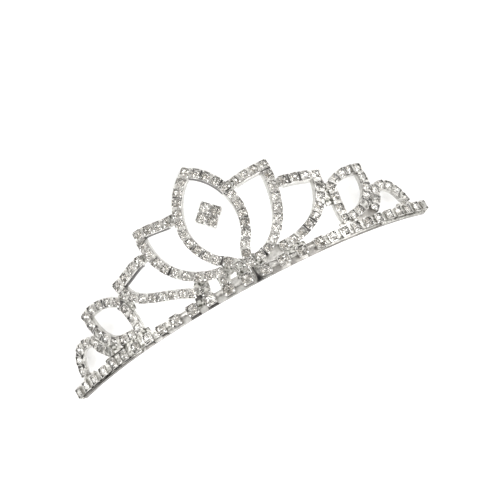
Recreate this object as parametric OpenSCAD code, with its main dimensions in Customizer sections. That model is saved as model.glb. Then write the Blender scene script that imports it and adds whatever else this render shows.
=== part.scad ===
// Small tiara of stone-set chain: a plain curved band with a row of spaced stones, and nine
// open petals and loops of chain soldered above it. It lies on a table, hollow side down,
// resting on the two ends of its band and the tip of its centre petal.
//
// Patterns are laid out on the unrolled face as [along, rise]: along is measured round the
// curve from the middle of the band, right positive, and rise is the height above the
// band's lower edge. Depth is measured inward from the flat tops of the stones.

/* [Curve] */
// Radius of the upright cylinder that touches the tops of all the stones
face_radius = 78; // [76:0.5:80]

/* [Band] */
// Height of the plain strip
band_height = 3.8; // [3.6:0.1:4]
// Thickness of the plain strip
band_thickness = 0.7; // [0.5:0.1:0.9]
// Distance along the curve from the middle of the strip to either end
band_reach = 74.6; // [74.4:0.1:77]
// Width of the settings on the strip
band_setting = 3.3; // [3.1:0.1:3.4]
// Spacing of the nine settings in the middle of the strip
middle_pitch = 6.35; // [6.25:0.05:6.45]
// Number of settings on the left tail
left_tail_count = 9; // [7:1:9]
// Number of settings on the right tail
right_tail_count = 10; // [8:1:10]

/* [Chain] */
// Width of the settings in the petals and loops
chain_setting = 3.05; // [2.9:0.05:3.1]
// Spacing that each run of chain comes nearest to
chain_pitch = 3.4; // [3.35:0.05:3.6]
// Depth of the ribbon's back edge
ribbon_depth = 3.5; // [3.2:0.1:3.8]
// Thickness of the ribbon
ribbon_thickness = 0.4; // [0.3:0.1:0.6]

/* [Stones] */
// Width of the table as a share of the stone's width
table_share = 0.58; // [0.5:0.02:0.66]
// Depth of the pavilion as a share of the stone's width
pavilion_share = 0.4; // [0.34:0.02:0.42]

/* [Hidden] */

metal_colour = "gainsboro";
stone_colour = "azure";

// Setting: a square cup with cut corners and an eight-sided seat
corner_cut = 0.3;
cup_wall = 0.165;
seat_gap = 0.11;
seat_floor = 0.15;
rim_depth = 0.35;
cup_base = 0.45;

// Stone: flat table, crown, thin girdle and pointed pavilion
stone_sides = 8;
crown_height = 0.45;
girdle_height = 0.12;

// Links and ribbon of the chain
link_width = 1.2;
link_thickness = 0.3;
link_bite = 0.6;
ribbon_front = 1;
ribbon_bite = 0.3;
ribbon_overlap = 0.2;

// Band: the settings stand on the strip, and flat bars join those in the middle
strip_bite = 0.15;
band_row_rise = 2.5;
middle_count = 9;
middle_centre = 0.95;
tail_last = 72.6;
bar_height = 1;
bar_depth = 1.25;
bar_thickness = 0.5;
end_chamfer = 1.1;
chamfer_tool = 3;
strip_detail = 180;

// Settings that stand on those of the band, under the petals.
// Columns: number of the setting below, counted from the left of the nine; width.
risers = [[2, 3.05], [3, 2.3]];
riser_bite = 0.15;

// Plain posts on two more settings of the band, with the same numbers
posts = [4, 5];
post_top = 4.95;
post_bite = 0.15;
post_width = 1.6;
post_depth = 1;
post_thickness = 1.2;

// Diamond of four settings on a wire stem
diamond_centre = [0.2, 25.3];
diamond_setting = 3.25;
diamond_pitch = 3.4;
stem_radius = 0.2;
stem_depth = 1.7;
stem_foot = 11.2;
stem_bite = 0.3;
stem_detail = 32;

// Each petal or loop is one or two runs of chain between corners. All are written as if on the
// right side. Columns: from, lean leaving it, lean arriving, to; each is [along, rise].
right_centre_runs = [
  [[0, 40.3], [9, 35.6], [13.4, 22.2], [5.7, 12.2]],
  [[5.7, 12.2], [4.7, 10.5], [4.2, 8.8], [4.2, 6.2]]
];
left_centre_runs = [
  [[0, 40.3], [8.6, 34.6], [13.5, 22.1], [4.5, 11.9]],
  [[4.5, 11.9], [2.8, 10.3], [0, 9.6], [-0.85, 7]]
];
right_inner_petal_runs = [
  [[12.1, 30.7], [15.5, 31.5], [19, 31.5], [22.6, 31.7]],
  [[22.6, 31.7], [22.7, 16.4], [14.6, 7.6], [7.8, 6.8]]
];
left_inner_petal_runs = [
  [[12.1, 29.6], [14.5, 29.8], [18.5, 31], [21.9, 31]],
  [[21.9, 31], [24.3, 16.5], [11.9, 8.8], [5.3, 8.15]]
];
right_outer_petal_runs = [
  [[25.6, 24.8], [29.3, 24.4], [33, 23.6], [36.6, 22.5]],
  [[36.6, 22.5], [35.2, 10.6], [23.4, 6.4], [15.8, 6.4]]
];
left_outer_petal_runs = [
  [[25.6, 24], [28.5, 24], [32, 22], [35.9, 21.4]],
  [[35.9, 21.4], [35.5, 12.5], [23, 11.5], [15.5, 6.7]]
];
right_round_loop_runs = [
  [[39.3, 17.3], [41.7, 19.5], [46.5, 20.9], [52.2, 20]],
  [[52.2, 20], [53.4, 9.8], [45.7, 7], [41.4, 6.3]]
];
right_upright = [[39.3, 17.3], [38.8, 13.5], [38, 10], [38, 6.3]];
left_round_loop_runs = [
  [[39, 17.3], [43.5, 20.5], [48.9, 20.8], [52.4, 19.7]],
  [[52.4, 19.7], [51.4, 10.2], [47.6, 6.6], [39.8, 6.3]]
];
left_upright = [[39, 17.3], [36.8, 14.5], [36.7, 11], [36.4, 7]];
right_end_loop_runs = [
  [[50.4, 6.3], [52, 8], [53.6, 9.5], [54.5, 11.8]],
  [[54.5, 11.8], [58.5, 13.7], [63.2, 12], [64.9, 6.2]]
];
left_end_loop_runs = [
  [[50.4, 6.3], [52, 8], [53.6, 9.5], [54.5, 11.9]],
  [[54.5, 11.9], [59.3, 15], [65, 12.6], [65.4, 6.6]]
];

// A place is a row with the columns along, rise and heading, the chain's direction in degrees.
curve_steps = 24;

function point_at(run, t) =
  let (u = 1 - t)
  u * u * u * run[0] + 3 * u * u * t * run[1] + 3 * u * t * t * run[2] + t * t * t * run[3];

function heading_at(run, t) =
  let (u = 1 - t)
  let (d = u * u * (run[1] - run[0]) + 2 * u * t * (run[2] - run[1]) + t * t * (run[3] - run[2]))
  atan2(d.y, d.x);

function piece_length(run, k) =
  norm(point_at(run, k / curve_steps) - point_at(run, (k - 1) / curve_steps));

// Rows of [length so far, t], for finding t at a given length
function length_table(run) =
  [for (k = 0, s = 0; k <= curve_steps; k = k + 1, s = s + piece_length(run, k))
    [s, k / curve_steps]];

function places(run, first) =
  let (table = length_table(run))
  let (total = table[curve_steps].x)
  let (count = max(1, round(total / chain_pitch)))
  [for (k = [first : count])
    let (t = lookup(k * total / count, table))
    concat(point_at(run, t), heading_at(run, t))];

// Two runs share the setting at their corner
function chain_places(runs) =
  len(runs) == 1 ? places(runs[0], 0) : concat(places(runs[0], 0), places(runs[1], 1));

function mirrored(rows) =
  [for (k = [len(rows) - 1 : -1 : 1]) [-rows[k][0], rows[k][1], -rows[k][2]]];

// The setting at the tip of the centre petal stands on its corner
tip_turn = -45;
right_half = chain_places(right_centre_runs);
left_half = chain_places(left_centre_runs);
tip_place = [right_half[0][0], right_half[0][1], tip_turn];
centre_petal_places = concat(
  mirrored(left_half), [tip_place], [for (k = [1 : len(right_half) - 1]) right_half[k]]
);

// Settings along the strip, evenly spaced in the middle and on each tail
middle_reach = middle_pitch * (middle_count - 1) / 2;
middle_alongs = [for (k = [0 : middle_count - 1]) middle_centre - middle_reach + k * middle_pitch];
left_start = middle_centre - middle_reach;
right_start = middle_centre + middle_reach;
left_alongs = [for (k = [left_tail_count : -1 : 1])
  left_start - k * (tail_last + left_start) / left_tail_count];
right_alongs = [for (k = [1 : right_tail_count])
  right_start + k * (tail_last - right_start) / right_tail_count];
band_alongs = concat(left_alongs, middle_alongs, right_alongs);

function riser_rise(size) = band_row_rise + band_setting / 2 - riser_bite + size / 2;

function stone_width(setting) = setting - 2 * (cup_wall + seat_gap);
function pavilion_depth(setting) =
  crown_height + girdle_height + pavilion_share * stone_width(setting);
function seat_depth(setting) = pavilion_depth(setting) + seat_floor;
function foot_depth(setting) = seat_depth(setting) + cup_base;
link_depth = foot_depth(chain_setting) - (cup_base + link_thickness) / 2;

function half_diagonal(setting) = (setting - corner_cut) / sqrt(2);
stem_top = diamond_centre.y - diamond_pitch / sqrt(2) - half_diagonal(diamond_setting) + stem_bite;

// Point of the upright tiara as [y, z], from a point [right, up] in the plane of a place
function side_view(along, rise, depth, offset = [0, 0]) =
  let (turn = along / face_radius * 180 / PI)
  [offset.x * sin(turn) - (face_radius - depth) * cos(turn), rise + offset.y];

// Back corners of a setting at a place
function cup_corners(place, size) =
  [for (quarter = [0 : 3], cut = [-1, 1])
    let (half = size / 2)
    let (short = half - corner_cut)
    let (across = cut > 0 ? [half, short] : [short, half])
    let (turn = place[2] + 90 * quarter)
    side_view(
      place[0], place[1], foot_depth(size),
      [across.x * cos(turn) - across.y * sin(turn), across.x * sin(turn) + across.y * cos(turn)]
    )];

// Tipped back on the ends of its band, the tiara turns until another corner meets the table
strip_back = foot_depth(band_setting) - strip_bite + band_thickness;
band_corners = concat(
  [
    side_view(band_reach - end_chamfer, band_height, strip_back),
    side_view(band_reach, band_height - end_chamfer, strip_back)
  ],
  cup_corners([tail_last, band_row_rise, 0], band_setting)
);
function loop_corner(runs) = let (row = places(runs[0], 0)) row[len(row) - 1];
upper_corners = concat(
  cup_corners(loop_corner(left_round_loop_runs), chain_setting),
  cup_corners(loop_corner(right_round_loop_runs), chain_setting),
  cup_corners(tip_place, chain_setting)
);
tilt = min([for (corner = upper_corners)
  max([for (end = band_corners) atan2(end.x - corner.x, corner.y - end.y)])]);
function drop(point) = point.x * cos(tilt) + point.y * sin(tilt);
table_offset = max([for (end = band_corners) drop(end)]);

// Middle of the tiara from front to back, as it lies
function forward(point) = point.y * cos(tilt) - point.x * sin(tilt);
near_edge = forward(side_view(band_reach - end_chamfer, 0, strip_back));
far_edge = forward(side_view(tip_place[0], tip_place[1] + half_diagonal(chain_setting), rim_depth));

// Puts a child drawn in the plane of the face, with its top at depth 0, at a place
module on_face(along, rise, heading = 0)
  rotate([0, 0, along / face_radius * 180 / PI])
    translate([0, -face_radius, rise])
      rotate([90, 0, 0])
        rotate([0, 0, heading])
          children();

// Lays the upright tiara on the table
module laid_down()
  translate([0, -(near_edge + far_edge) / 2, table_offset])
    rotate([-90 - tilt, 0, 0])
      children();

module cup(size)
  difference() {
    translate([0, 0, -foot_depth(size)])
      linear_extrude(foot_depth(size) - rim_depth)
        intersection() {
          square(size, center = true);
          rotate(45) square(size * sqrt(2) - corner_cut * sqrt(2), center = true);
        }
    translate([0, 0, -seat_depth(size)])
      rotate(180 / stone_sides)
        cylinder(
          h = seat_depth(size),
          d = (stone_width(size) + 2 * seat_gap) / cos(180 / stone_sides),
          $fn = stone_sides
        );
  }

module stone(size) {
  girdle_r = stone_width(size) / 2 / cos(180 / stone_sides);
  table_r = girdle_r * table_share;
  last = stone_sides - 1;
  step = 360 / stone_sides;
  table = [for (k = [0 : last]) [table_r * cos(k * step), table_r * sin(k * step), 0]];
  upper = [for (k = [0 : last])
    [girdle_r * cos((k + 0.5) * step), girdle_r * sin((k + 0.5) * step), -crown_height]];
  lower = [for (p = upper) p - [0, 0, girdle_height]];
  point = [[0, 0, -pavilion_depth(size)]];
  crown_faces = [for (k = [0 : last]) each [
    [k, stone_sides + k, (k + 1) % stone_sides],
    [stone_sides + k, stone_sides + (k + 1) % stone_sides, (k + 1) % stone_sides]
  ]];
  girdle_faces = [for (k = [0 : last]) [
    stone_sides + k, 2 * stone_sides + k,
    2 * stone_sides + (k + 1) % stone_sides, stone_sides + (k + 1) % stone_sides
  ]];
  pavilion_faces = [for (k = [0 : last])
    [2 * stone_sides + k, 3 * stone_sides, 2 * stone_sides + (k + 1) % stone_sides]];
  polyhedron(
    concat(table, upper, lower, point),
    [for (face = concat([[for (k = [0 : last]) k]], crown_faces, girdle_faces, pavilion_faces))
      [for (k = [len(face) - 1 : -1 : 0]) face[k]]]
  );
}

// Bar drawn between two places, with its top at the given depth
module bar(from, to, overlap, width, depth, thickness) {
  span = [to.x - from.x, to.y - from.y];
  on_face((from.x + to.x) / 2, (from.y + to.y) / 2, atan2(span.y, span.x))
    translate([0, 0, -depth - thickness / 2])
      cube([norm(span) + 2 * overlap, width, thickness], center = true);
}

// Point of the ribbon beside a place, on the chain's right, mitred where the chain turns
function ribbon_point(rows, k) =
  let (before = rows[max(k - 1, 0)])
  let (after = rows[min(k + 1, len(rows) - 1)])
  let (way_in = k == 0 ? rows[k][2] : atan2(rows[k].y - before.y, rows[k].x - before.x))
  let (way_out = k == len(rows) - 1 ? rows[k][2] : atan2(after.y - rows[k].y, after.x - rows[k].x))
  let (turn = way_out - way_in)
  let (half_turn = (turn > 180 ? turn - 360 : turn < -180 ? turn + 360 : turn) / 2)
  let (side = way_in + half_turn - 90)
  let (offset = (chain_setting / 2 + ribbon_thickness / 2 - ribbon_bite) / cos(half_turn))
  [rows[k].x + offset * cos(side), rows[k].y + offset * sin(side)];

module settings(rows)
  for (place = rows)
    on_face(place[0], place[1], place[2])
      cup(chain_setting);

// Links run through the bases of the settings, and a ribbon stands on edge behind them
module joins(rows)
  for (k = [1 : len(rows) - 1]) {
    bar(rows[k - 1], rows[k], link_bite - chain_setting / 2, link_width, link_depth, link_thickness);
    bar(
      ribbon_point(rows, k - 1), ribbon_point(rows, k), ribbon_overlap, ribbon_thickness,
      ribbon_front, ribbon_depth - ribbon_front
    );
  }

module chain(rows) {
  settings(rows);
  joins(rows);
}

module chain_stones(rows)
  for (place = rows)
    on_face(place[0], place[1], place[2])
      stone(chain_setting);

module left_side() mirror([1, 0, 0]) children();

module strip() {
  reach_angle = band_reach / face_radius * 180 / PI;
  difference() {
    rotate([0, 0, -90 - reach_angle])
      rotate_extrude(angle = 2 * reach_angle, $fn = strip_detail)
        translate([face_radius - strip_back, 0])
          square([band_thickness, band_height]);
    for (side = [-1, 1], rise = [0, band_height])
      on_face(side * band_reach, rise, 45)
        translate([0, 0, -strip_back])
          cube([end_chamfer * sqrt(2), end_chamfer * sqrt(2), chamfer_tool], center = true);
  }
}

module band() color(metal_colour) laid_down() {
  strip();
  for (along = band_alongs)
    on_face(along, band_row_rise)
      cup(band_setting);
  for (k = [1 : len(band_alongs) - 1])
    bar(
      [band_alongs[k - 1], band_row_rise], [band_alongs[k], band_row_rise],
      ribbon_overlap - band_setting / 2, bar_height, bar_depth, bar_thickness
    );
  for (riser = risers)
    on_face(middle_alongs[riser[0]], riser_rise(riser[1]))
      cup(riser[1]);
  for (k = posts)
    bar(
      [middle_alongs[k], band_row_rise + band_setting / 2 - post_bite],
      [middle_alongs[k], post_top],
      0, post_width, post_depth, post_thickness
    );
}

module band_stones() color(stone_colour) laid_down() {
  for (along = band_alongs)
    on_face(along, band_row_rise)
      stone(band_setting);
  for (riser = risers)
    on_face(middle_alongs[riser[0]], riser_rise(riser[1]))
      stone(riser[1]);
}

module centre_petal() color(metal_colour) laid_down() chain(centre_petal_places);

module centre_petal_stones() color(stone_colour) laid_down() chain_stones(centre_petal_places);

module petal(runs) chain(chain_places(runs));

module petal_stones(runs) chain_stones(chain_places(runs));

module left_inner_petal() color(metal_colour) laid_down() left_side()
  petal(left_inner_petal_runs);

module left_inner_petal_stones() color(stone_colour) laid_down() left_side()
  petal_stones(left_inner_petal_runs);

module right_inner_petal() color(metal_colour) laid_down()
  petal(right_inner_petal_runs);

module right_inner_petal_stones() color(stone_colour) laid_down()
  petal_stones(right_inner_petal_runs);

module left_outer_petal() color(metal_colour) laid_down() left_side()
  petal(left_outer_petal_runs);

module left_outer_petal_stones() color(stone_colour) laid_down() left_side()
  petal_stones(left_outer_petal_runs);

module right_outer_petal() color(metal_colour) laid_down()
  petal(right_outer_petal_runs);

module right_outer_petal_stones() color(stone_colour) laid_down()
  petal_stones(right_outer_petal_runs);

// A round loop has an upright strand down from its first setting
module round_loop(runs, upright) {
  chain(chain_places(runs));
  settings(places(upright, 1));
  joins(places(upright, 0));
}

module round_loop_stones(runs, upright) {
  chain_stones(chain_places(runs));
  chain_stones(places(upright, 1));
}

module left_round_loop() color(metal_colour) laid_down() left_side()
  round_loop(left_round_loop_runs, left_upright);

module left_round_loop_stones() color(stone_colour) laid_down() left_side()
  round_loop_stones(left_round_loop_runs, left_upright);

module right_round_loop() color(metal_colour) laid_down()
  round_loop(right_round_loop_runs, right_upright);

module right_round_loop_stones() color(stone_colour) laid_down()
  round_loop_stones(right_round_loop_runs, right_upright);

module left_end_loop() color(metal_colour) laid_down() left_side()
  petal(left_end_loop_runs);

module left_end_loop_stones() color(stone_colour) laid_down() left_side()
  petal_stones(left_end_loop_runs);

module right_end_loop() color(metal_colour) laid_down()
  petal(right_end_loop_runs);

module right_end_loop_stones() color(stone_colour) laid_down()
  petal_stones(right_end_loop_runs);

// Quarters of the diamond count round from the top: 0 top, 1 left, 2 bottom, 3 right
module in_diamond(quarter)
  on_face(diamond_centre.x, diamond_centre.y, 90 * quarter)
    translate([0, diamond_pitch / sqrt(2), 0])
      rotate([0, 0, 45])
        children();

module diamond() color(metal_colour) laid_down() {
  for (quarter = [0 : 3])
    in_diamond(quarter) cup(diamond_setting);
  on_face(diamond_centre.x, diamond_centre.y, 45)
    translate([0, 0, -link_depth - link_thickness / 2])
      cube([diamond_pitch, diamond_pitch, link_thickness], center = true);
  on_face(diamond_centre.x, stem_foot)
    translate([0, 0, -stem_depth])
      rotate([-90, 0, 0])
        cylinder(h = stem_top - stem_foot, r = stem_radius, $fn = stem_detail);
}

module diamond_stone(quarter) color(stone_colour) laid_down()
  in_diamond(quarter) stone(diamond_setting);

module top_diamond_stone() diamond_stone(0);

module left_diamond_stone() diamond_stone(1);

module bottom_diamond_stone() diamond_stone(2);

module right_diamond_stone() diamond_stone(3);

band();
centre_petal();
left_inner_petal();
right_inner_petal();
left_outer_petal();
right_outer_petal();
left_round_loop();
right_round_loop();
left_end_loop();
right_end_loop();
diamond();
band_stones();
centre_petal_stones();
left_inner_petal_stones();
right_inner_petal_stones();
left_outer_petal_stones();
right_outer_petal_stones();
left_round_loop_stones();
right_round_loop_stones();
left_end_loop_stones();
right_end_loop_stones();
top_diamond_stone();
left_diamond_stone();
right_diamond_stone();
bottom_diamond_stone();
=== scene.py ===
# Small tiara of stone-set chain, lying on a pale table with its hollow side down.
# Layout tables are in millimetres on the unrolled face: the place along the curve, and the
# rise above the band's lower edge.
import math
import random
import bmesh
import bpy
from mathutils import Matrix, Vector


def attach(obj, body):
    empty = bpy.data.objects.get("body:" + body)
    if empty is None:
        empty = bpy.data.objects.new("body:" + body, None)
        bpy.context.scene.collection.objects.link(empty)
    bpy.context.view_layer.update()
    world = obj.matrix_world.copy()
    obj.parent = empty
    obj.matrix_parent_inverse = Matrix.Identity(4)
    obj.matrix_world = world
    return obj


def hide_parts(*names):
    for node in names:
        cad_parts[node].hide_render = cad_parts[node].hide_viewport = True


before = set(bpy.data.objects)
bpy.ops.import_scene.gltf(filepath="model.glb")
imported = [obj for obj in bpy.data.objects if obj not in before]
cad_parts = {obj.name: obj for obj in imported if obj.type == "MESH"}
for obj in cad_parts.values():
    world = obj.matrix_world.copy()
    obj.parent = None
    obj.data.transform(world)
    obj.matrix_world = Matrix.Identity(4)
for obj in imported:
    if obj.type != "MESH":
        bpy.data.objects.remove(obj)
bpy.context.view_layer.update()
random.seed(11)
mm = 0.001
hair = 0.01  # less than this, in millimetres or of a normal, counts as nothing
squarely = 0.9  # a face looks along an axis if more than this of its normal does


# From the unrolled face to the table: the curve's radius, the degrees that the tiara tips back,
# and the way it is then moved to lie in the middle of the table
lay = {"radius": 78, "tilt": 39.7524, "forward": 55.1989, "lift": -31.2851}
layDown = (
    Matrix.Scale(mm, 4)
    @ Matrix.Translation((0, -lay["forward"], lay["lift"]))
    @ Matrix.Rotation(math.radians(-90 - lay["tilt"]), 4, "X")
)


def onFace(along, rise, heading=0):  # the place of a copy of a master
    return (
        layDown
        @ Matrix.Rotation(along / lay["radius"], 4, "Z")
        @ Matrix.Translation((0, -lay["radius"], rise))
        @ Matrix.Rotation(math.radians(90), 4, "X")
        @ Matrix.Rotation(math.radians(heading), 4, "Z")
    )


def wrapOnFace(piece):  # drawn flat: x along, y rise, z outwards from the stones' tops
    for vert in piece.data.vertices:
        turn, out = vert.co.x / lay["radius"], lay["radius"] + vert.co.z
        vert.co = layDown @ Vector((out * math.sin(turn), -out * math.cos(turn), vert.co.y))
    piece.data.update()


shot = {
    "aim": (0.2, -75, 17.17),  # a point of the upright tiara
    "aimOffset": (5.37, -0.21),  # from that point to the middle of the picture
    "side": -1.0,  # degrees round the upright tiara, below it, and of the camera's own turn
    "below": 13.5,
    "roll": 28.812,
    "distance": 450,
    "lens": 112.5,
    "sensor": 36,
    "nearest": 0.01,
}


def placeCamera():
    side, below, roll = (math.radians(shot[key]) for key in ("side", "below", "roll"))
    sideSin, sideCos = math.sin(side), math.cos(side)
    belowSin, belowCos = math.sin(below), math.cos(below)
    right = Vector((sideCos, sideSin, 0))
    up = Vector((sideSin * belowSin, -sideCos * belowSin, belowCos))
    back = Vector((sideSin * belowCos, -sideCos * belowCos, -belowSin))
    rolledRight = right * math.cos(roll) - up * math.sin(roll)
    rolledUp = right * math.sin(roll) + up * math.cos(roll)
    aim = Vector(shot["aim"])
    across, upwards = shot["aimOffset"]
    target = aim + rolledRight * across + rolledUp * upwards
    eye = aim + back * shot["distance"]
    facing = (eye - target).normalized()
    sideways = rolledUp.cross(facing).normalized()
    turn = layDown.to_3x3().normalized()
    axes = Matrix((turn @ sideways, turn @ facing.cross(sideways), turn @ facing)).transposed()
    bpy.ops.object.camera_add()
    camera = bpy.context.object
    camera.matrix_world = Matrix.Translation(layDown @ eye) @ axes.to_4x4()
    camera.data.lens = shot["lens"]
    camera.data.sensor_width = shot["sensor"]
    camera.data.clip_start = shot["nearest"]
    bpy.context.scene.camera = camera


placeCamera()
print("camera placed")


def newMaterial(name):
    material = bpy.data.materials.new(name)
    material.use_nodes = True
    nodes = material.node_tree.nodes
    return material, nodes, material.node_tree.links, nodes["Principled BSDF"]


def addNoise(nodes, links, scale, detail=2.0, roughness=0.5, source="Object"):
    place = nodes.new("ShaderNodeTexCoord")
    noise = nodes.new("ShaderNodeTexNoise")
    noise.inputs["Scale"].default_value = scale
    noise.inputs["Detail"].default_value = detail
    noise.inputs["Roughness"].default_value = roughness
    links.new(place.outputs[source], noise.inputs["Vector"])
    return noise.outputs["Fac"]


def addRamp(nodes, links, value, stops):
    ramp = nodes.new("ShaderNodeValToRGB")
    links.new(value, ramp.inputs["Fac"])
    while len(ramp.color_ramp.elements) < len(stops):
        ramp.color_ramp.elements.new(0.5)
    for element, (position, colour) in zip(ramp.color_ramp.elements, stops):
        element.position = position
        element.color = (*colour, 1)
    return ramp.outputs["Color"]


def addRange(nodes, links, value, low, high):
    span = nodes.new("ShaderNodeMapRange")
    span.inputs["To Min"].default_value = low
    span.inputs["To Max"].default_value = high
    links.new(value, span.inputs["Value"])
    return span.outputs["Result"]


def addBump(nodes, links, value, distance, shader):
    bump = nodes.new("ShaderNodeBump")
    bump.inputs["Strength"].default_value = 1
    bump.inputs["Distance"].default_value = distance
    links.new(value, bump.inputs["Height"])
    links.new(bump.outputs["Normal"], shader.inputs["Normal"])


studio = {
    "floorSize": 30.0,
    "floorColour": (0.97, 0.97, 0.965),
    "floorShade": 0.98,  # the darker grain, as a share of that colour
    "floorStops": (0.3, 0.7),
    "floorGrain": 900,
    "floorDetail": 4,
    "floorRoughness": 0.8,
    "floorShine": 0.1,
    "boxes": [  # place, size, power
        ((-0.45, -0.75, 0.85), 0.45, 2.6),
        ((0.60, -0.55, 0.90), 0.45, 2.6),
        ((-1.00, 0.30, 0.60), 0.45, 4.2),
        ((1.00, 0.40, 0.55), 0.45, 4.6),
        ((-0.65, 0.60, 1.15), 0.45, 3.6),
        ((0.70, 0.55, 1.15), 0.45, 3.6),
        ((0.10, -0.10, 1.30), 0.50, 3.6),
    ],
    "skyScale": 5.0,
    "skyDetail": 1.5,
    "skyStops": [
        (0.00, (1.00, 1.00, 1.00)),
        (0.50, (0.92, 0.92, 0.91)),
        (0.57, (0.60, 0.59, 0.57)),
        (0.62, (0.16, 0.15, 0.14)),
        (1.00, (0.05, 0.05, 0.05)),
    ],
    "skyStrength": 1.45,
}


def buildStudio():
    bpy.ops.mesh.primitive_plane_add(size=studio["floorSize"], location=(0, 0, 0))
    floor = bpy.context.object
    floor.name = "floor"
    material, nodes, links, shader = newMaterial("paleTable")
    grain = addNoise(nodes, links, studio["floorGrain"], studio["floorDetail"])
    pale = studio["floorColour"]
    shaded = [part * studio["floorShade"] for part in pale]
    darker, paler = studio["floorStops"]
    tint = addRamp(nodes, links, grain, [(darker, shaded), (paler, pale)])
    links.new(tint, shader.inputs["Base Color"])
    shader.inputs["Roughness"].default_value = studio["floorRoughness"]
    shader.inputs["Specular IOR Level"].default_value = studio["floorShine"]
    floor.data.materials.append(material)
    for place, size, power in studio["boxes"]:
        bpy.ops.object.light_add(type="AREA", location=place)
        lamp = bpy.context.object
        lamp.data.size = size
        lamp.data.energy = power
        lamp.rotation_euler = Vector(place).to_track_quat("Z", "Y").to_euler()
    world = bpy.data.worlds.new("room")
    bpy.context.scene.world = world
    world.use_nodes = True
    nodes, links = world.node_tree.nodes, world.node_tree.links
    room = addNoise(nodes, links, studio["skyScale"], studio["skyDetail"], source="Generated")
    colour = addRamp(nodes, links, room, studio["skyStops"])
    links.new(colour, nodes["Background"].inputs["Color"])
    nodes["Background"].inputs["Strength"].default_value = studio["skyStrength"]
    view = bpy.context.scene.view_settings
    view.view_transform = "Standard"
    view.look = "None"


buildStudio()
print("studio built")


plating = {
    "stainStops": (0.35, 0.62),  # where stained metal ends and bright metal begins
    "stainDetail": 3,
    "wearScale": 2600,
    "wearDetail": 3,
    "wearRoughness": 0.6,
    "bumpDetail": 2,
}


def platedSilver(name, light, dark, roughness, bumpScale, bumpDepth, stainScale):
    material, nodes, links, shader = newMaterial(name)
    stained, bright = plating["stainStops"]
    stain = addNoise(nodes, links, stainScale, plating["stainDetail"])
    tint = addRamp(nodes, links, stain, [(stained, dark), (bright, light)])
    links.new(tint, shader.inputs["Base Color"])
    shader.inputs["Metallic"].default_value = 1
    wear = addNoise(
        nodes, links, plating["wearScale"], plating["wearDetail"], plating["wearRoughness"]
    )
    links.new(addRange(nodes, links, wear, *roughness), shader.inputs["Roughness"])
    bump = addNoise(nodes, links, bumpScale, plating["bumpDetail"])
    addBump(nodes, links, bump, bumpDepth, shader)
    return material


# Light and dark colour, roughness from and to, scale and depth of the bump, scale of the stains
silvers = {
    "cupSilver": ((0.68, 0.67, 0.65), (0.34, 0.33, 0.31), (0.12, 0.30), 3000, 0.00002, 650),
    "jointSilver": ((0.54, 0.53, 0.50), (0.20, 0.19, 0.18), (0.28, 0.50), 2400, 0.00010, 1300),
    "ribbonSilver": ((0.62, 0.61, 0.59), (0.44, 0.43, 0.41), (0.20, 0.35), 5200, 0.000004, 650),
    "stripSilver": ((0.52, 0.51, 0.49), (0.38, 0.37, 0.35), (0.30, 0.45), 5200, 0.000004, 650),
    # Dark grey, mostly used as painted shadow under the settings and along the strip's lower edge
    "plateAndShadeSilver": ((0.30, 0.29, 0.27), (0.20, 0.19, 0.18), (0.35, 0.50), 1600, 0.00006, 650),
    "paleSilver": ((0.50, 0.49, 0.47), (0.36, 0.35, 0.33), (0.35, 0.50), 1600, 0.00010, 1300),
    "wireSilver": ((0.95, 0.95, 0.94), (0.86, 0.86, 0.84), (0.30, 0.45), 5200, 0.000004, 650),
    "tailTin": ((0.64, 0.63, 0.60), (0.16, 0.155, 0.14), (0.22, 0.45), 1500, 0.00018, 1100),
    "solderTin": ((0.50, 0.49, 0.46), (0.05, 0.05, 0.04), (0.22, 0.45), 1500, 0.00022, 1100),
    # Near-black painted shade, for sides, joints and patches that lie in shadow
    "paintedShadeSilver": ((0.10, 0.095, 0.09), (0.02, 0.02, 0.02), (0.25, 0.50), 5200, 0.000004, 650),
}
finishes = {name: platedSilver(name, *look) for name, look in silvers.items()}

stoneLook = {
    "streakScale": 900,
    "streakTints": [(0.3, (0.93, 0.93, 0.92)), (0.7, (1, 1, 1))],
    "bending": 1.56,
    "foilScale": 420,
    "foilTints": [(0.34, (0.42, 0.40, 0.37)), (0.6, (0.74, 0.73, 0.71))],
    "foilRoughness": (0.02, 0.12),
    "foilGrain": 3000,
    "foilBumpDetail": 1,
    "foilBumpDepth": 0.00005,
}


def foiledGlass():
    glass, nodes, links, shader = newMaterial("clearGlass")
    streak = addNoise(nodes, links, stoneLook["streakScale"])
    tint = addRamp(nodes, links, streak, stoneLook["streakTints"])
    links.new(tint, shader.inputs["Base Color"])
    shader.inputs["Transmission Weight"].default_value = 1
    shader.inputs["Roughness"].default_value = 0
    shader.inputs["IOR"].default_value = stoneLook["bending"]
    foil, nodes, links, shader = newMaterial("stoneFoil")
    patch = addNoise(nodes, links, stoneLook["foilScale"])
    tint = addRamp(nodes, links, patch, stoneLook["foilTints"])
    links.new(tint, shader.inputs["Base Color"])
    shader.inputs["Metallic"].default_value = 1
    grain = addNoise(nodes, links, stoneLook["foilGrain"])
    shine = addRange(nodes, links, grain, *stoneLook["foilRoughness"])
    links.new(shine, shader.inputs["Roughness"])
    bump = addNoise(nodes, links, stoneLook["foilGrain"], stoneLook["foilBumpDetail"])
    addBump(nodes, links, bump, stoneLook["foilBumpDepth"], shader)
    return glass, foil


finishes["glass"], finishes["foil"] = foiledGlass()
print("finishes mixed")


# Work in edit mode
def startPiece(name):
    piece = bpy.context.object
    piece.name = piece.data.name = name
    bpy.ops.object.mode_set(mode="EDIT")
    bpy.ops.mesh.select_mode(type="FACE")
    bpy.ops.mesh.select_all(action="DESELECT")
    return piece


def pickFaces(test):  # the test gets a face's centre and normal
    shell = bmesh.from_edit_mesh(bpy.context.object.data)
    for face in shell.faces:
        face.select_set(bool(test(face.calc_center_median(), face.normal)))
    bmesh.update_edit_mesh(bpy.context.object.data)


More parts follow.
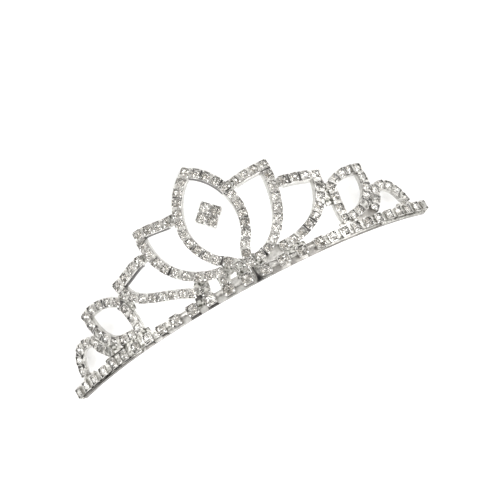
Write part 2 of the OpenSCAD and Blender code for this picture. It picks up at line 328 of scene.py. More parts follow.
def pickEdges(test):  # the test gets an edge's two ends
    bpy.ops.mesh.select_mode(type="EDGE")
    shell = bmesh.from_edit_mesh(bpy.context.object.data)
    for edge in shell.edges:
        edge.select_set(bool(test(edge.verts[0].co, edge.verts[1].co)))
    bmesh.update_edit_mesh(bpy.context.object.data)


def pushFaces(lift, shrink):
    bpy.ops.mesh.extrude_region_move(TRANSFORM_OT_translate={"value": (0, 0, lift)})
    bpy.ops.transform.resize(value=(shrink, shrink, 1), center_override=(0, 0, 0))


def endPiece(smoothAngle=None):
    bpy.ops.mesh.select_all(action="SELECT")
    bpy.ops.mesh.normals_make_consistent(inside=False)
    bpy.ops.mesh.select_all(action="DESELECT")
    bpy.ops.object.mode_set(mode="OBJECT")
    if smoothAngle:
        bpy.ops.object.shade_smooth_by_angle(angle=math.radians(smoothAngle))


# A wall on both sides of a flat piece, softened where it turns by more than corner
def thicken(piece, thickness, edge, edgeSteps, corner):
    wall = piece.modifiers.new("wall", "SOLIDIFY")
    wall.thickness = thickness
    wall.offset = 0
    soft = piece.modifiers.new("soft", "BEVEL")
    soft.width = edge
    soft.segments = edgeSteps
    soft.limit_method = "ANGLE"
    soft.angle_limit = math.radians(corner)
    for name in ("wall", "soft"):
        bpy.ops.object.modifier_apply(modifier=name)


def chooseOnly(pieces):
    bpy.ops.object.select_all(action="DESELECT")
    for piece in pieces:
        piece.select_set(True)
    bpy.context.view_layer.objects.active = pieces[0]


def copyOut(master, name, places):  # one joined piece of copies, a matrix for each
    copies = []
    for place in places:
        copy = bpy.data.objects.new(name, master.data.copy())
        bpy.context.collection.objects.link(copy)
        copy.data.transform(place)
        copies.append(copy)
    chooseOnly(copies)
    if len(copies) > 1:
        bpy.ops.object.join()
    copies[0].name = copies[0].data.name = name
    return copies[0]


def drawFlat(name, fill, halfDepth):
    flat = bpy.data.curves.new(name, "CURVE")
    flat.dimensions = "2D"
    flat.fill_mode = fill
    flat.extrude = halfDepth
    return flat


def turnToMesh(name, flat):
    piece = bpy.data.objects.new(name, flat)
    bpy.context.collection.objects.link(piece)
    chooseOnly([piece])
    bpy.ops.object.convert(target="MESH")
    return bpy.context.object


def settle(piece, slotName, *nodes):
    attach(piece, "root")
    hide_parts(*nodes)


# A claw setting, a cut stone and a link are modelled once, in millimetres, and copied.
# Heights are from the stones' tops.
cup = {
    "width": 3.05,
    "fit": 0.98,  # drawn a little smaller than the solid it stands for
    "cornerCut": 0.32,
    "wall": 0.165,
    "rim": -0.385,
    "seat": -1.72,
    "foot": -2.17,
    "sole": 0.55,  # flat border round the dimple below
    "dimpleSlope": 0.2,
    "dimple": 0.16,
    "claw": [(0.13, 0.93), (0.12, 0.84), (0.06, 0.86)],  # lift and shrink of each push
    "smooth": 35,
}


def modelCup():
    height = cup["rim"] - cup["foot"]
    bpy.ops.object.select_all(action="DESELECT")
    bpy.ops.mesh.primitive_cube_add(
        size=1,
        location=(0, 0, (cup["rim"] + cup["foot"]) / 2),
        scale=(cup["width"], cup["width"], height),
    )
    bpy.ops.object.transform_apply()
    piece = startPiece("cupMaster")
    pickEdges(lambda a, b: abs(a.z - b.z) > height / 2)
    bpy.ops.mesh.bevel(offset=cup["cornerCut"], offset_type="OFFSET", segments=1)
    bpy.ops.mesh.select_mode(type="FACE")
    pickFaces(lambda c, n: n.z > squarely)
    bpy.ops.mesh.inset(thickness=cup["wall"])
    pushFaces(cup["seat"] - cup["rim"], 1)
    pickFaces(lambda c, n: n.z < -squarely)
    bpy.ops.mesh.inset(thickness=cup["sole"])
    bpy.ops.mesh.inset(thickness=cup["dimpleSlope"])
    bpy.ops.transform.translate(value=(0, 0, cup["dimple"]))
    corner = (cup["width"] / 2 - cup["wall"]) / 2
    above = (cup["rim"] + cup["seat"]) / 2
    pickFaces(lambda c, n: n.z > squarely and c.z > above and min(abs(c.x), abs(c.y)) > corner)
    for lift, shrink in cup["claw"]:
        pushFaces(lift, shrink)
    endPiece(cup["smooth"])
    piece.data.materials.append(finishes["cupSilver"])
    return piece


gem = {
    "facets": 8,
    "radius": 1.29,
    "point": -1.5,
    "seat": 2.5,  # width of the seat it is cut for, and what a setting adds to that
    "seatWall": 0.55,
    # first azimuth, lean from level, distance from the axis and height of a point on the cut
    "cuts": [
        (0.0, 40.0, 1.29, -0.44),
        (22.5, 23.0, 0.70, 0.0),
        (22.5, 48.0, 1.28, -0.43),
        (0.0, -38.0, 1.29, -0.57),
        (22.5, -44.0, 1.29, -0.57),
    ],
    "weld": 0.004,
}


def modelGem():
    bpy.ops.object.select_all(action="DESELECT")
    bpy.ops.mesh.primitive_cylinder_add(
        vertices=2 * gem["facets"],
        radius=gem["radius"],
        depth=-gem["point"],
        location=(0, 0, gem["point"] / 2),
        rotation=(0, 0, math.radians(90 / gem["facets"])),
    )
    bpy.ops.object.transform_apply()
    piece = startPiece("gemMaster")
    for first, lean, reach, height in gem["cuts"]:
        for k in range(gem["facets"]):
            turn = math.radians(first + 360 / gem["facets"] * k)
            slope = math.radians(abs(lean))
            out = Vector((math.cos(turn), math.sin(turn), 0))
            normal = out * math.sin(slope) + Vector((0, 0, math.copysign(math.cos(slope), lean)))
            bpy.ops.mesh.select_all(action="SELECT")
            bpy.ops.mesh.bisect(
                plane_co=out * reach + Vector((0, 0, height)),
                plane_no=normal,
                use_fill=True,
                clear_outer=True,
            )
    piece.data.materials.append(finishes["glass"])
    piece.data.materials.append(finishes["foil"])
    bpy.ops.mesh.select_all(action="SELECT")
    bpy.ops.mesh.remove_doubles(threshold=gem["weld"])
    pickFaces(lambda c, n: n.z < -hair)  # all that looks down is foiled
    piece.active_material_index = 1
    bpy.ops.object.material_slot_assign()
    endPiece()
    return piece


link = {
    "width": 2.3,
    "thickness": 0.34,
    "depth": 1.86,
    "groove": 0.35,
    "grooveDepth": 0.068,
    "smooth": 30,
}


def modelLink():  # one unit long, stretched to each gap
    bpy.ops.object.select_all(action="DESELECT")
    bpy.ops.mesh.primitive_cube_add(
        size=1, location=(0, 0, -link["depth"]), scale=(1, link["width"], link["thickness"])
    )
    bpy.ops.object.transform_apply()
    piece = startPiece("linkMaster")
    for side in (-1, 1):
        pickFaces(lambda c, n: n.z * side > squarely)
        bpy.ops.mesh.inset(thickness=link["groove"])
        bpy.ops.transform.translate(value=(0, 0, -side * link["grooveDepth"]))
    endPiece(link["smooth"])
    piece.data.materials.append(finishes["jointSilver"])
    return piece


cupMaster, gemMaster, linkMaster = modelCup(), modelGem(), modelLink()
masters = (cupMaster, gemMaster, linkMaster)
print("masters modelled:", [len(master.data.polygons) for master in masters], "faces")


chain = {
    "pitch": 3.4,
    "setting": 3.05,
    "overlap": 0.3,  # of a link and the setting at each end of it
    "linkShare": 1.28,  # of the link's own width
    "linkLift": 1.25,
    "tipTurn": -45,
    "curveSteps": 24,
}

# Where the settings go: runs of chain from corner to corner, left ones as if on the right side.
# Each run is its start, its lean leaving it, its lean arriving and its end.
strands = {
    "right_centre": [
        [
            [(0, 40.3), (9, 35.6), (13.4, 22.2), (5.7, 12.2)],
            [(5.7, 12.2), (4.7, 10.5), (4.2, 8.8), (4.2, 6.2)],
        ]
    ],
    "left_centre": [
        [
            [(0, 40.3), (8.6, 34.6), (13.5, 22.1), (4.5, 11.9)],
            [(4.5, 11.9), (2.8, 10.3), (0, 9.6), (-0.85, 7)],
        ]
    ],
    "right_inner_petal": [
        [
            [(12.1, 30.7), (15.5, 31.5), (19, 31.5), (22.6, 31.7)],
            [(22.6, 31.7), (22.7, 16.4), (14.6, 7.6), (7.8, 6.8)],
        ]
    ],
    "left_inner_petal": [
        [
            [(12.1, 29.6), (14.5, 29.8), (18.5, 31), (21.9, 31)],
            [(21.9, 31), (24.3, 16.5), (11.9, 8.8), (5.3, 8.15)],
        ]
    ],
    "right_outer_petal": [
        [
            [(25.6, 24.8), (29.3, 24.4), (33, 23.6), (36.6, 22.5)],
            [(36.6, 22.5), (35.2, 10.6), (23.4, 6.4), (15.8, 6.4)],
        ]
    ],
    "left_outer_petal": [
        [
            [(25.6, 24), (28.5, 24), (32, 22), (35.9, 21.4)],
            [(35.9, 21.4), (35.5, 12.5), (23, 11.5), (15.5, 6.7)],
        ]
    ],
    "right_round_loop": [
        [
            [(39.3, 17.3), (41.7, 19.5), (46.5, 20.9), (52.2, 20)],
            [(52.2, 20), (53.4, 9.8), (45.7, 7), (41.4, 6.3)],
        ],
        [[(39.3, 17.3), (38.8, 13.5), (38, 10), (38, 6.3)]],
    ],
    "left_round_loop": [
        [
            [(39, 17.3), (43.5, 20.5), (48.9, 20.8), (52.4, 19.7)],
            [(52.4, 19.7), (51.4, 10.2), (47.6, 6.6), (39.8, 6.3)],
        ],
        [[(39, 17.3), (36.8, 14.5), (36.7, 11), (36.4, 7)]],
    ],
    "right_end_loop": [
        [
            [(50.4, 6.3), (52, 8), (53.6, 9.5), (54.5, 11.8)],
            [(54.5, 11.8), (58.5, 13.7), (63.2, 12), (64.9, 6.2)],
        ]
    ],
    "left_end_loop": [
        [
            [(50.4, 6.3), (52, 8), (53.6, 9.5), (54.5, 11.9)],
            [(54.5, 11.9), (59.3, 15), (65, 12.6), (65.4, 6.6)],
        ]
    ],
}


def pointAt(run, t):
    u = 1 - t
    weights = (u * u * u, 3 * u * u * t, 3 * u * t * t, t * t * t)
    return Vector([sum(w * p[axis] for w, p in zip(weights, run)) for axis in (0, 1)])


def headingAt(run, t):
    u = 1 - t
    weights = (u * u, 2 * u * t, t * t)
    across, upwards = [
        sum(w * (run[k + 1][axis] - run[k][axis]) for k, w in enumerate(weights)) for axis in (0, 1)
    ]
    return math.degrees(math.atan2(upwards, across))


def spreadOut(run, fine=1):  # settings evenly spaced along a run, or fine times as many places
    steps = chain["curveSteps"]
    corners = [pointAt(run, k / steps) for k in range(steps + 1)]
    lengths = [0]
    for before, after in zip(corners, corners[1:]):
        lengths.append(lengths[-1] + (after - before).length)
    count = max(1, round(lengths[-1] / chain["pitch"])) * fine
    rows = []
    for k in range(count + 1):
        want = k * lengths[-1] / count
        step = next((n for n in range(steps) if lengths[n + 1] >= want), steps - 1)
        t = (step + (want - lengths[step]) / (lengths[step + 1] - lengths[step])) / steps
        rows.append((*pointAt(run, min(t, 1)), headingAt(run, min(t, 1))))
    return rows


def strandRows(runs, fine=1):
    rows = spreadOut(runs[0], fine)
    for run in runs[1:]:
        rows += spreadOut(run, fine)[1:]
    return rows


def mirrorRows(rows):
    return [(-along, rise, -heading) for along, rise, heading in rows]


def chainRows(node, fine=1):
    if node == "centre_petal":  # up its left side, over the tip and down its right
        right = strandRows(strands["right_centre"][0], fine)
        left = mirrorRows(strandRows(strands["left_centre"][0], fine))
        tip = (right[0][0], right[0][1], chain["tipTurn"])
        return [left[:0:-1] + [tip] + right[1:]]
    rows = [strandRows(runs, fine) for runs in strands[node]]
    return [mirrorRows(strand) for strand in rows] if node.startswith("left") else rows


ribbon = {
    "thickness": 0.4,
    "front": 1.0,
    "depth": 3.48,
    "loopDepth": 2.4,
    "inset": 0.1,
    "clear": 0.97,  # share of its distance that it keeps from every setting
    "fineness": 4,  # places to each setting
    "edge": 0.08,
    "edgeSteps": 2,
    "corner": 30,
    "smooth": 35,
}


def ribbonLine(rows, side):  # beside the chain, mitred where it turns
    line = []
    reach = chain["setting"] / 2 - ribbon["inset"]
    for k, (along, rise, heading) in enumerate(rows):
        before, after = rows[max(k - 1, 0)], rows[min(k + 1, len(rows) - 1)]
        wayIn = math.degrees(math.atan2(rise - before[1], along - before[0]))
        wayOut = math.degrees(math.atan2(after[1] - rise, after[0] - along))
        if k == 0:
            wayIn = wayOut
        if k == len(rows) - 1:
            wayOut = wayIn
        half = ((wayOut - wayIn + 180) % 360 - 180) / 2
        away = math.radians(wayIn + half - 90 * side)
        offset = reach / math.cos(math.radians(half))
        line.append((along + offset * math.cos(away), rise + offset * math.sin(away)))
    clear = ribbon["clear"] * reach
    return [spot for spot in line if min(math.dist(spot, row[:2]) for row in rows) > clear]


jitter = {  # degrees, millimetres, and the share of joints painted dark as shade in the gaps
    "cupTurn": 1.4,
    "cupLean": 1.2,
    "gemTurn": 45.0,
    "gemLean": 4.0,
    "gemSink": 0.06,
    "paintedShadeJoints": 0.3,
}


def wobble(turn, lean, sink=0.0):
    return (
        Matrix.Translation((0, 0, -sink))
        @ Matrix.Rotation(math.radians(random.uniform(-turn, turn)), 4, "Z")
        @ Matrix.Rotation(math.radians(random.uniform(-lean, lean)), 4, "X")
        @ Matrix.Rotation(math.radians(random.uniform(-lean, lean)), 4, "Y")
    )


def cupPlaces(rows, size, sink=0.0):
    return [
        onFace(*row)
        @ wobble(jitter["cupTurn"], jitter["cupLean"], sink)
        @ Matrix.Scale(cup["fit"] * size / cup["width"], 4)
        for row in rows
    ]


def gemPlaces(rows, size, sink=0.0):
    share = (size - gem["seatWall"]) / gem["seat"]
    return [
        onFace(*row)
        @ wobble(jitter["gemTurn"], jitter["gemLean"], jitter["gemSink"] + sink)
        @ Matrix.Scale(share, 4)
        for row in rows
    ]


def linkPlaces(rows, size, overlap, height=1.0, lift=0.0):
    places = []
    for here, there in zip(rows, rows[1:]):
        span = Vector((there[0] - here[0], there[1] - here[1]))
        turn = math.degrees(math.atan2(span.y, span.x))
        middle = onFace((here[0] + there[0]) / 2, (here[1] + there[1]) / 2, turn)
        middle = middle @ Matrix.Translation((0, 0, lift))
        places.append(middle @ Matrix.Diagonal((span.length - size + 2 * overlap, height, 1, 1)))
    return places


# Sides painted near-black as shade, mostly on the left and under the top runs: their direction on
# the upright tiara and closeness to it, the leftmost and rightmost place, and the lowest rise
paintedShadeSides = {
    "ribbons": [
        ((-0.45, 0, -0.89), 0.86, -22.5, 9.5, 0),
        ((-0.65, 0, -0.76), 0.86, 3.0, 12.0, 25),
        ((0.10, 0, -1.0), 0.93, -35.0, -22.0, 0),
    ],
    "petals": [((-0.55, 0, -0.84), 0.86, 3.0, 10.8, 28)],
    "settings": [((-0.45, 0, -0.89), 0.86, -80.0, 9.5, 0)],
    "strip": [((0, 0, -1.0), 0.3, -80.0, 80.0, 0)],
}


def pickJoints(piece, shade):  # every link has as many faces as its master; some links are painted dark as shade in the gaps between settings
    piece.data.materials.append(finishes["paintedShadeSilver"])
    each = len(linkMaster.data.polygons)
    for face in piece.data.polygons:
        face.material_index = int(shade[face.index // each])


# Faces turned towards the listed sides get a near-black finish as painted shade
def paintShadeOnUndersides(piece, kind):
    upright = layDown.to_3x3().normalized()
    sides = [((upright @ Vector(way)).normalized(), *limits) for way, *limits in paintedShadeSides[kind]]
    stand = layDown.inverted()

    def isPaintedShade(centre, normal):
        spot = stand @ centre
        return any(
            normal.dot(way) > closeness and left < spot.x < right and spot.z > lowest
            for way, closeness, left, right, lowest in sides
        )

    chooseOnly([piece])
    piece.data.materials.append(finishes["paintedShadeSilver"])
    bpy.ops.object.mode_set(mode="EDIT")
    bpy.ops.mesh.select_mode(type="FACE")
    bpy.ops.mesh.select_all(action="DESELECT")
    pickFaces(isPaintedShade)
    piece.active_material_index = len(piece.data.materials) - 1
    bpy.ops.object.material_slot_assign()
    bpy.ops.mesh.select_all(action="DESELECT")
    bpy.ops.object.mode_set(mode="OBJECT")


def makeRibbon(name, line, depth):
    flat = drawFlat(name, "NONE", (depth - ribbon["front"]) / 2)
    strand = flat.splines.new("POLY")
    strand.points.add(len(line) - 1)
    for point, (along, rise) in zip(strand.points, line):
        point.co = (along, rise, 0, 1)
    piece = turnToMesh(name, flat)
    bpy.ops.object.mode_set(mode="EDIT")
    bpy.ops.mesh.select_all(action="SELECT")
    bpy.ops.mesh.remove_doubles(threshold=hair)
    bpy.ops.transform.translate(value=(0, 0, -(depth + ribbon["front"]) / 2))
    bpy.ops.object.mode_set(mode="OBJECT")
    thicken(piece, ribbon["thickness"], ribbon["edge"], ribbon["edgeSteps"], ribbon["corner"])
    bpy.ops.object.shade_smooth_by_angle(angle=math.radians(ribbon["smooth"]))
    wrapOnFace(piece)
    piece.data.materials.append(finishes["ribbonSilver"])
    return piece


def makeChain(node):
    side = -1 if node.startswith("left") else 1
    rows = chainRows(node)
    settings = rows[0] + [row for strand in rows[1:] for row in strand[1:]]
    cups = copyOut(cupMaster, node + "_settings", cupPlaces(settings, chain["setting"]))
    share, lift = chain["linkShare"], chain["linkLift"]
    joints = []
    for strand in rows:
        joints += linkPlaces(strand, chain["setting"], chain["overlap"], share, lift)
    links = copyOut(linkMaster, node + "_links", joints)
    # About a third of the links are painted dark as shade in the gaps
    pickJoints(links, [random.random() < jitter["paintedShadeJoints"] for joint in joints])
    depth = ribbon["loopDepth" if node.endswith("loop") else "depth"]
    lines = [ribbonLine(strand, side) for strand in chainRows(node, ribbon["fineness"])]
    ribbons = [makeRibbon(node + "_ribbon", line, depth) for line in lines]
    if len(ribbons) > 1:
        chooseOnly(ribbons)
        bpy.ops.object.join()
    stones = copyOut(gemMaster, node + "_cut_stones", gemPlaces(settings, chain["setting"]))
    # Painted shade on the down-left sides of the ribbons and settings
    paintShadeOnUndersides(ribbons[0], "ribbons")
    paintShadeOnUndersides(cups, "petals")
    for piece in (cups, links, ribbons[0]):
        settle(piece, "silver_metal", node)
    settle(stones, "clear_stone", node + "_stones")


makeChain("centre_petal")
for form in ("inner_petal", "outer_petal", "round_loop", "end_loop"):
    makeChain("right_" + form)
    makeChain("left_" + form)
print("petals and loops made")


band = {
    "reach": 74.6,  # of the strip to each side
    "foot": 0.1,
    "top": 3.8,
    "thickness": 0.7,
    "back": 2.82,  # of the strip, behind the stones' tops
    "endRound": 1.85,
    "endSteps": 6.3,  # steps in a quarter turn; the last one stops short of a point
    "cuts": 100,
    "edge": 0.22,  # comes out at about 0.001, held back by the doubled plate
    "edgeSteps": 3,
    "corner": 50,
    "smooth": 40,
    "setting": 3.3,
    "middleFit": 1.13,  # the middle settings are drawn broader, and sunk to stay within the solid
    "middleSink": 0.18,
    "rise": 2.5,
    "middleCount": 9,
    "middlePitch": 6.35,
    "middleCentre": 0.95,
    "tailLast": 72.6,
    "leftTail": 9,
    "rightTail": 10,
    "linkOverlap": 0.2,
    "middleLink": (0.42, 0.36, "jointSilver"),  # share of the link's width, lift, finish
    "tailLink": (1.2, 0.75, "tailTin"),
    "risers": [(2, 5.525, 3.05), (3, 5.15, 2.3)],  # setting below, rise, width
}


def bandRows():
    middleReach = band["middlePitch"] * (band["middleCount"] - 1) / 2
    start, end = band["middleCentre"] - middleReach, band["middleCentre"] + middleReach
    leftRun = band["tailLast"] + start
    rightRun = band["tailLast"] - end
    left = [start - k * leftRun / band["leftTail"] for k in range(band["leftTail"], 0, -1)]
    middle = [start + k * band["middlePitch"] for k in range(band["middleCount"])]
    right = [end + k * rightRun / band["rightTail"] for k in range(1, band["rightTail"] + 1)]
    risers = [((middle[k], rise, 0), size) for k, rise, size in band["risers"]]
    return [(along, band["rise"], 0) for along in left + middle + right], risers


# The plate's faces stay chosen all through, so that each end step doubles the whole plate
def makeStrip():
    half = (band["foot"] + band["top"]) / 2
    straight = band["reach"] - band["endRound"]
    bpy.ops.object.select_all(action="DESELECT")
    bpy.ops.mesh.primitive_plane_add(size=1, location=(0, half, 0))
    bpy.ops.object.transform_apply()
    piece = startPiece("band_strip")
    bpy.ops.mesh.select_all(action="SELECT")
    size = (2 * straight, band["top"] - band["foot"], 1)
    bpy.ops.transform.resize(value=size, center_override=(0, half, 0))
    pickEdges(lambda a, b: abs(a.y - b.y) < hair)
    bpy.ops.mesh.subdivide(number_cuts=band["cuts"])
    for side in (-1, 1):
        width, out = 1.0, 0.0
        pickEdges(lambda a, b: min(a.x * side, b.x * side) > straight - hair)
        for k in range(1, int(band["endSteps"]) + 1):
            turn = math.radians(90 * k / band["endSteps"])
            step = band["endRound"] * math.sin(turn) - out
            share = math.cos(turn) / width
            bpy.ops.mesh.extrude_region_move(TRANSFORM_OT_translate={"value": (side * step, 0, 0)})
            bpy.ops.transform.resize(value=(1, share, 1), center_override=(0, half, 0))
            width, out = math.cos(turn), out + step
    endPiece()
    thicken(piece, band["thickness"], band["edge"], band["edgeSteps"], band["corner"])
    piece.data.transform(Matrix.Translation((0, 0, band["thickness"] / 2 - band["back"])))
    bpy.ops.object.shade_smooth_by_angle(angle=math.radians(band["smooth"]))
    wrapOnFace(piece)
    piece.data.materials.append(finishes["stripSilver"])
    return piece


# Solder and scraps of strip fill the gaps of the band and the joins of the petals; most plain and
# dark patches are painted shade instead, laid under the settings and along the strip's lower edge
solderAndShade = {
    "round": 0.12,
    "roundSteps": 1,
    "outlineSteps": 3,
    "smooth": 40,
    "finish": {
        "rough": "solderTin",
        "light": "tailTin",
        "pale": "paleSilver",
        "plain": "plateAndShadeSilver",
        "dark": "paintedShadeSilver",
    },
}

# Depth of the front behind the stones' tops, thickness and outline of each
patches = {
    "rough": [
        (1.0, 0.9, [
            (-14.2, 5.4), (-14.4, 8.4), (-13.2, 9.6), (-10.4, 9), (-9.8, 7.6), (-10.2, 5.4),
        ]),
        (1.1, 0.9, [
            (-4.4, 5.4), (-4.2, 9.6), (-2.4, 9.4), (-0.4, 9), (0.8, 7), (-0.4, 5.6), (-1.4, 6.3),
            (-2.8, 6.1), (-3.3, 5.2),
        ]),
        (1.0, 0.9, [(-7, 4.4), (-6.9, 7.2), (-3.4, 7.2), (-3.3, 4.4)]),
        (1.1, 0.9, [(0.4, 6.4), (0.2, 8.6), (1.6, 9.2), (2.9, 8.4), (2.9, 6.2)]),
        (1.1, 0.9, [(5.4, 5.2), (5.4, 8.8), (6.6, 8.3), (6.6, 5.2)]),
        (1.2, 0.8, [(15.2, 3.4), (15, 5.3), (18.5, 5.6), (22.1, 5), (22.2, 3.9), (18.4, 3.2)]),
        (1.2, 0.8, [(-1.2, 3.8), (-1, 5.4), (0.4, 5.8), (3, 5.6), (3, 3.8)]),
        (1.2, 0.8, [(4.8, 3.8), (4.9, 5.6), (8.9, 5.6), (8.9, 3.8)]),
        (1.2, 0.8, [
            (-33.4, 3.9), (-33.8, 5.6), (-40, 5.3), (-46, 5.6), (-50, 5.3), (-54, 4.8),
            (-54, 3.9), (-44, 3.6),
        ]),
        (1.0, 1.0, [(34.9, 12.2), (35.4, 18.8), (37.6, 19.4), (38.6, 18), (37.3, 12)]),
        (1.0, 1.0, [(-34.4, 12.6), (-34, 17.8), (-37.4, 18.8), (-38.4, 17.6), (-36.2, 12.6)]),
        (0.9, 1.0, [(-9.4, 28), (-9.6, 31), (-11.6, 31.2), (-11.6, 28)]),
        (0.9, 1.0, [(9.2, 29.6), (9.2, 32), (11.6, 32), (11.6, 29.4)]),
        (0.9, 1.0, [(23.2, 23.6), (23.4, 26), (25, 26), (25, 23.5)]),
        (0.9, 1.0, [(-23, 22.7), (-23, 25.3), (-25, 25.3), (-25, 22.7)]),
        (1.0, 0.9, [(-16.8, 1.9), (-16.8, 3.0), (-15.9, 4), (-13.5, 4), (-13.4, 2.1)]),
        (0.6, 1.3, [
            (-44.4, 4.8), (-46.4, 7.4), (-48.8, 8.6), (-51.8, 9.6), (-52.6, 7), (-50.4, 4.6),
        ]),
    ],
    "light": [
        (1.2, 0.8, [(35.4, 3.9), (35.6, 5.3), (42, 5.4), (42, 3.9)]),
        (1.2, 0.8, [(59.8, 3.9), (60.6, 5), (65, 5.4), (67.4, 4.6), (68.6, 3.9)]),
        (1.2, 0.8, [(-60.4, 3.9), (-61.4, 4.8), (-66, 5.5), (-67.4, 4.8), (-69, 3.9)]),
        (1.4, 0.7, [
            (-73.4, 0.6), (-73.4, 1.3), (-66, 1.4), (-58, 1.3), (-50, 1.2), (-39.5, 1.1),
            (-39.5, 0.5),
        ]),
        (1.4, 0.7, [
            (73.2, 0.6), (73.2, 1.3), (66, 1.3), (58, 1.1), (50, 1.0), (50, 0.5), (58, 0.4),
            (66, 0.5),
        ]),
        (1.1, 0.9, [
            (-72.6, 0.5), (-74.2, 0.8), (-74.9, 1.5), (-74.9, 2.5), (-74.2, 3.4), (-73.2, 3.9),
            (-72.4, 3.9),
        ]),
        (1.1, 0.9, [
            (72.6, 0.5), (74.2, 0.8), (74.9, 1.5), (74.9, 2.5), (74.2, 3.4), (73.2, 3.9),
            (72.4, 3.9),
        ]),
        (1.0, 0.9, [(51, 8.4), (51.6, 13.6), (53.6, 13), (53.4, 8.8)]),
        (0.6, 1.3, [(-50.4, 8), (-51.2, 13.8), (-53.8, 13.4), (-53, 8.4)]),
        (1.0, 0.9, [(45.6, 6.2), (46, 7.8), (50, 10.2), (50.8, 8.6), (48, 6.6)]),
    ],
    "pale": [
        (1.3, 0.7, [
            (8.8, 4), (8.7, 5.4), (10.4, 6.2), (12.2, 7.3), (13.6, 8.2), (14.6, 7), (14.7, 4),
            (11.8, 3.7),
        ]),
        (1.3, 0.7, [(-3.6, 2.6), (-3.6, 4.7), (-0.9, 4.7), (-0.9, 2.6)]),
    ],
    # Mostly painted shade: a dark line along the strip's lower edge and painted shadows under the
    # settings, with a few plates
    "plain": [
        (1.3, 0.6, [
            (-73.4, 0.35), (-73.4, 0.6), (-66, 0.7), (-58, 0.6), (-50, 0.5), (-40, 0.45),
            (-40, 0.27), (-58, 0.27),
        ]),
        (1.8, 0.5, [
            (24.8, 0.26), (24.8, 0.4), (32, 0.4), (40, 0.4), (50, 0.5), (50, 0.3), (40, 0.26),
            (32, 0.26),
        ]),
        (1.1, 0.8, [
            (42.2, 3.8), (42.2, 5.4), (45.6, 6.6), (48, 6.6), (50, 5.2), (50, 3.9), (46, 3.7),
        ]),
        (1.6, 0.5, [(8.8, 0.2), (8.9, 1.9), (11.9, 2), (12.3, 0.2)]),
        (1.6, 0.5, [(15.3, 0.2), (15.5, 2), (18.6, 2), (19.1, 0.2)]),
        (1.6, 0.5, [(21.6, 0.2), (21.8, 3.9), (24.4, 3.9), (24.6, 0.2)]),
        (1.6, 0.5, [(-31, 0.15), (-30.8, 0.8), (-29, 0.8), (-28.6, 0.15)]),
        (1.6, 0.5, [(-38, 0.15), (-37.6, 1.2), (-34.8, 1.2), (-34.2, 0.15)]),
        (1.3, 0.6, [
            (2.9, 0.3), (3.4, 1.2), (3.7, 2.4), (3.4, 5.2), (4.5, 5.2), (4.7, 2.4), (5.2, 1.2),
            (6, 0.3),
        ]),
    ],
    # Painted shade in gaps between the settings, and painted shadows under them
    "dark": [
        (1.2, 0.8, [(-16, 3.9), (-15.7, 5.2), (-13.5, 5.3), (-13.4, 3.9)]),
        (1.2, 0.6, [
            (3.4, 0.3), (3.9, 1.2), (4.1, 2.4), (4, 5), (4.3, 5), (4.5, 2.4), (5, 1.2),
            (5.5, 0.3),
        ]),
        (1.6, 0.5, [(-19.8, 0.15), (-19.6, 1.2), (-16.6, 1.2), (-16.3, 0.15)]),
        (1.6, 0.5, [(-13.6, 0.15), (-13.4, 1.3), (-10.4, 1.3), (-10.1, 0.15)]),
    ],
}


def makePatches(kind):
    name = "band_solder_and_painted_shade_" + kind
    pieces = []
    for front, thickness, outline in patches[kind]:
        flat = drawFlat(name, "BOTH", thickness / 2 - solderAndShade["round"])
        flat.bevel_depth = solderAndShade["round"]
        flat.bevel_resolution = solderAndShade["roundSteps"]
        edge = flat.splines.new("BEZIER")
        edge.bezier_points.add(len(outline) - 1)
        edge.use_cyclic_u = True
        edge.resolution_u = solderAndShade["outlineSteps"]
        for point, (along, rise) in zip(edge.bezier_points, outline):
            point.co = (along, rise, 0)
            point.handle_left_type = point.handle_right_type = "VECTOR"
        piece = turnToMesh(name, flat)
        piece.data.transform(Matrix.Translation((0, 0, -front - thickness / 2)))
        wrapOnFace(piece)
        bpy.ops.object.mode_set(mode="EDIT")
        bpy.ops.mesh.select_all(action="SELECT")
        bpy.ops.mesh.remove_doubles(threshold=hair * mm)
        endPiece(solderAndShade["smooth"])
        piece.data.materials.clear()
        piece.data.materials.append(finishes[solderAndShade["finish"][kind]])
        pieces.append(piece)
    chooseOnly(pieces)
    bpy.ops.object.join()
    return pieces[0]


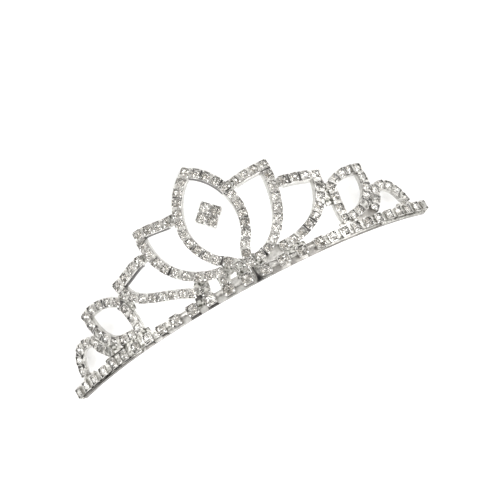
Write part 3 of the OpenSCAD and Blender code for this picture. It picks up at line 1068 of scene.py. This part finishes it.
def makeBand():
    rows, risers = bandRows()
    first = band["leftTail"]
    last = first + band["middleCount"] - 1
    places, seats = [], []
    for k, row in enumerate(rows):
        middle = first <= k <= last
        size = band["setting"] * (band["middleFit"] if middle else 1)
        sink = band["middleSink"] if middle else 0
        places += cupPlaces([row], size, sink)
        seats += gemPlaces([row], size, sink)
    for row, size in risers:
        places += cupPlaces([row], size)
        seats += gemPlaces([row], size)
    cups = copyOut(cupMaster, "band_settings", places)
    parts = (rows[: first + 1], rows[first : last + 1], rows[last:])
    links = []
    for part, kind in zip(parts, ("tailLink", "middleLink", "tailLink")):
        share, lift, finish = band[kind]
        joints = linkPlaces(part, band["setting"], band["linkOverlap"], share, lift)
        run = copyOut(linkMaster, "band_links", joints)
        run.data.materials[0] = finishes[finish]
        links.append(run)
    chooseOnly(links)
    bpy.ops.object.join()
    strip = makeStrip()
    # Painted shade on the settings' lower sides and along the strip's underside
    paintShadeOnUndersides(cups, "settings")
    paintShadeOnUndersides(strip, "strip")
    fillsAndShades = [makePatches(kind) for kind in patches]
    for piece in (strip, cups, links[0], *fillsAndShades):
        settle(piece, "silver_metal", "band")
    settle(copyOut(gemMaster, "band_cut_stones", seats), "clear_stone", "band_stones")


makeBand()
print("band made")


# Four stones on a wire stem
diamond = {
    "centre": (0.2, 25.3),
    "turn": 45,
    "setting": 3.36,
    "pitch": 3.4,
    "stemRadius": 0.16,
    "stemSides": 12,
    "stemDepth": 1.7,
    "stemFoot": 11.3,
    "stemTop": 21.1,
    "stemRound": 0.12,
    "stemRoundSteps": 2,
    "smooth": 40,
}


def makeDiamond():
    along, rise = diamond["centre"]
    reach = diamond["pitch"] / math.sqrt(2)
    quarters = {}
    for k, name in enumerate(("top", "left", "bottom", "right")):
        turn = math.radians(90 * k)
        spot = (along - reach * math.sin(turn), rise + reach * math.cos(turn))
        quarters[name] = (*spot, diamond["turn"])
    cups = copyOut(cupMaster, "diamond_settings", cupPlaces(quarters.values(), diamond["setting"]))
    bpy.ops.object.select_all(action="DESELECT")
    bpy.ops.mesh.primitive_cylinder_add(
        vertices=diamond["stemSides"],
        radius=diamond["stemRadius"],
        depth=diamond["stemTop"] - diamond["stemFoot"],
        location=(along, (diamond["stemTop"] + diamond["stemFoot"]) / 2, -diamond["stemDepth"]),
        rotation=(math.radians(90), 0, 0),
    )
    bpy.ops.object.transform_apply()
    stem = startPiece("diamond_stem")
    pickFaces(lambda c, n: abs(n.y) > squarely)
    bpy.ops.mesh.bevel(offset=diamond["stemRound"], segments=diamond["stemRoundSteps"])
    endPiece(diamond["smooth"])
    wrapOnFace(stem)
    stem.data.materials.append(finishes["wireSilver"])
    stretch = Matrix.Diagonal((diamond["pitch"], diamond["pitch"] / link["width"], 1, 1))
    plate = copyOut(linkMaster, "diamond_plate", [onFace(along, rise, diamond["turn"]) @ stretch])
    for piece in (cups, stem, plate):
        settle(piece, "silver_metal", "diamond")
    for name, row in quarters.items():
        places = gemPlaces([row], diamond["setting"])
        stone = copyOut(gemMaster, name + "_diamond_cut_stone", places)
        settle(stone, "clear_stone", name + "_diamond_stone")


makeDiamond()
print("diamond made")

for master in masters:
    bpy.data.objects.remove(master)
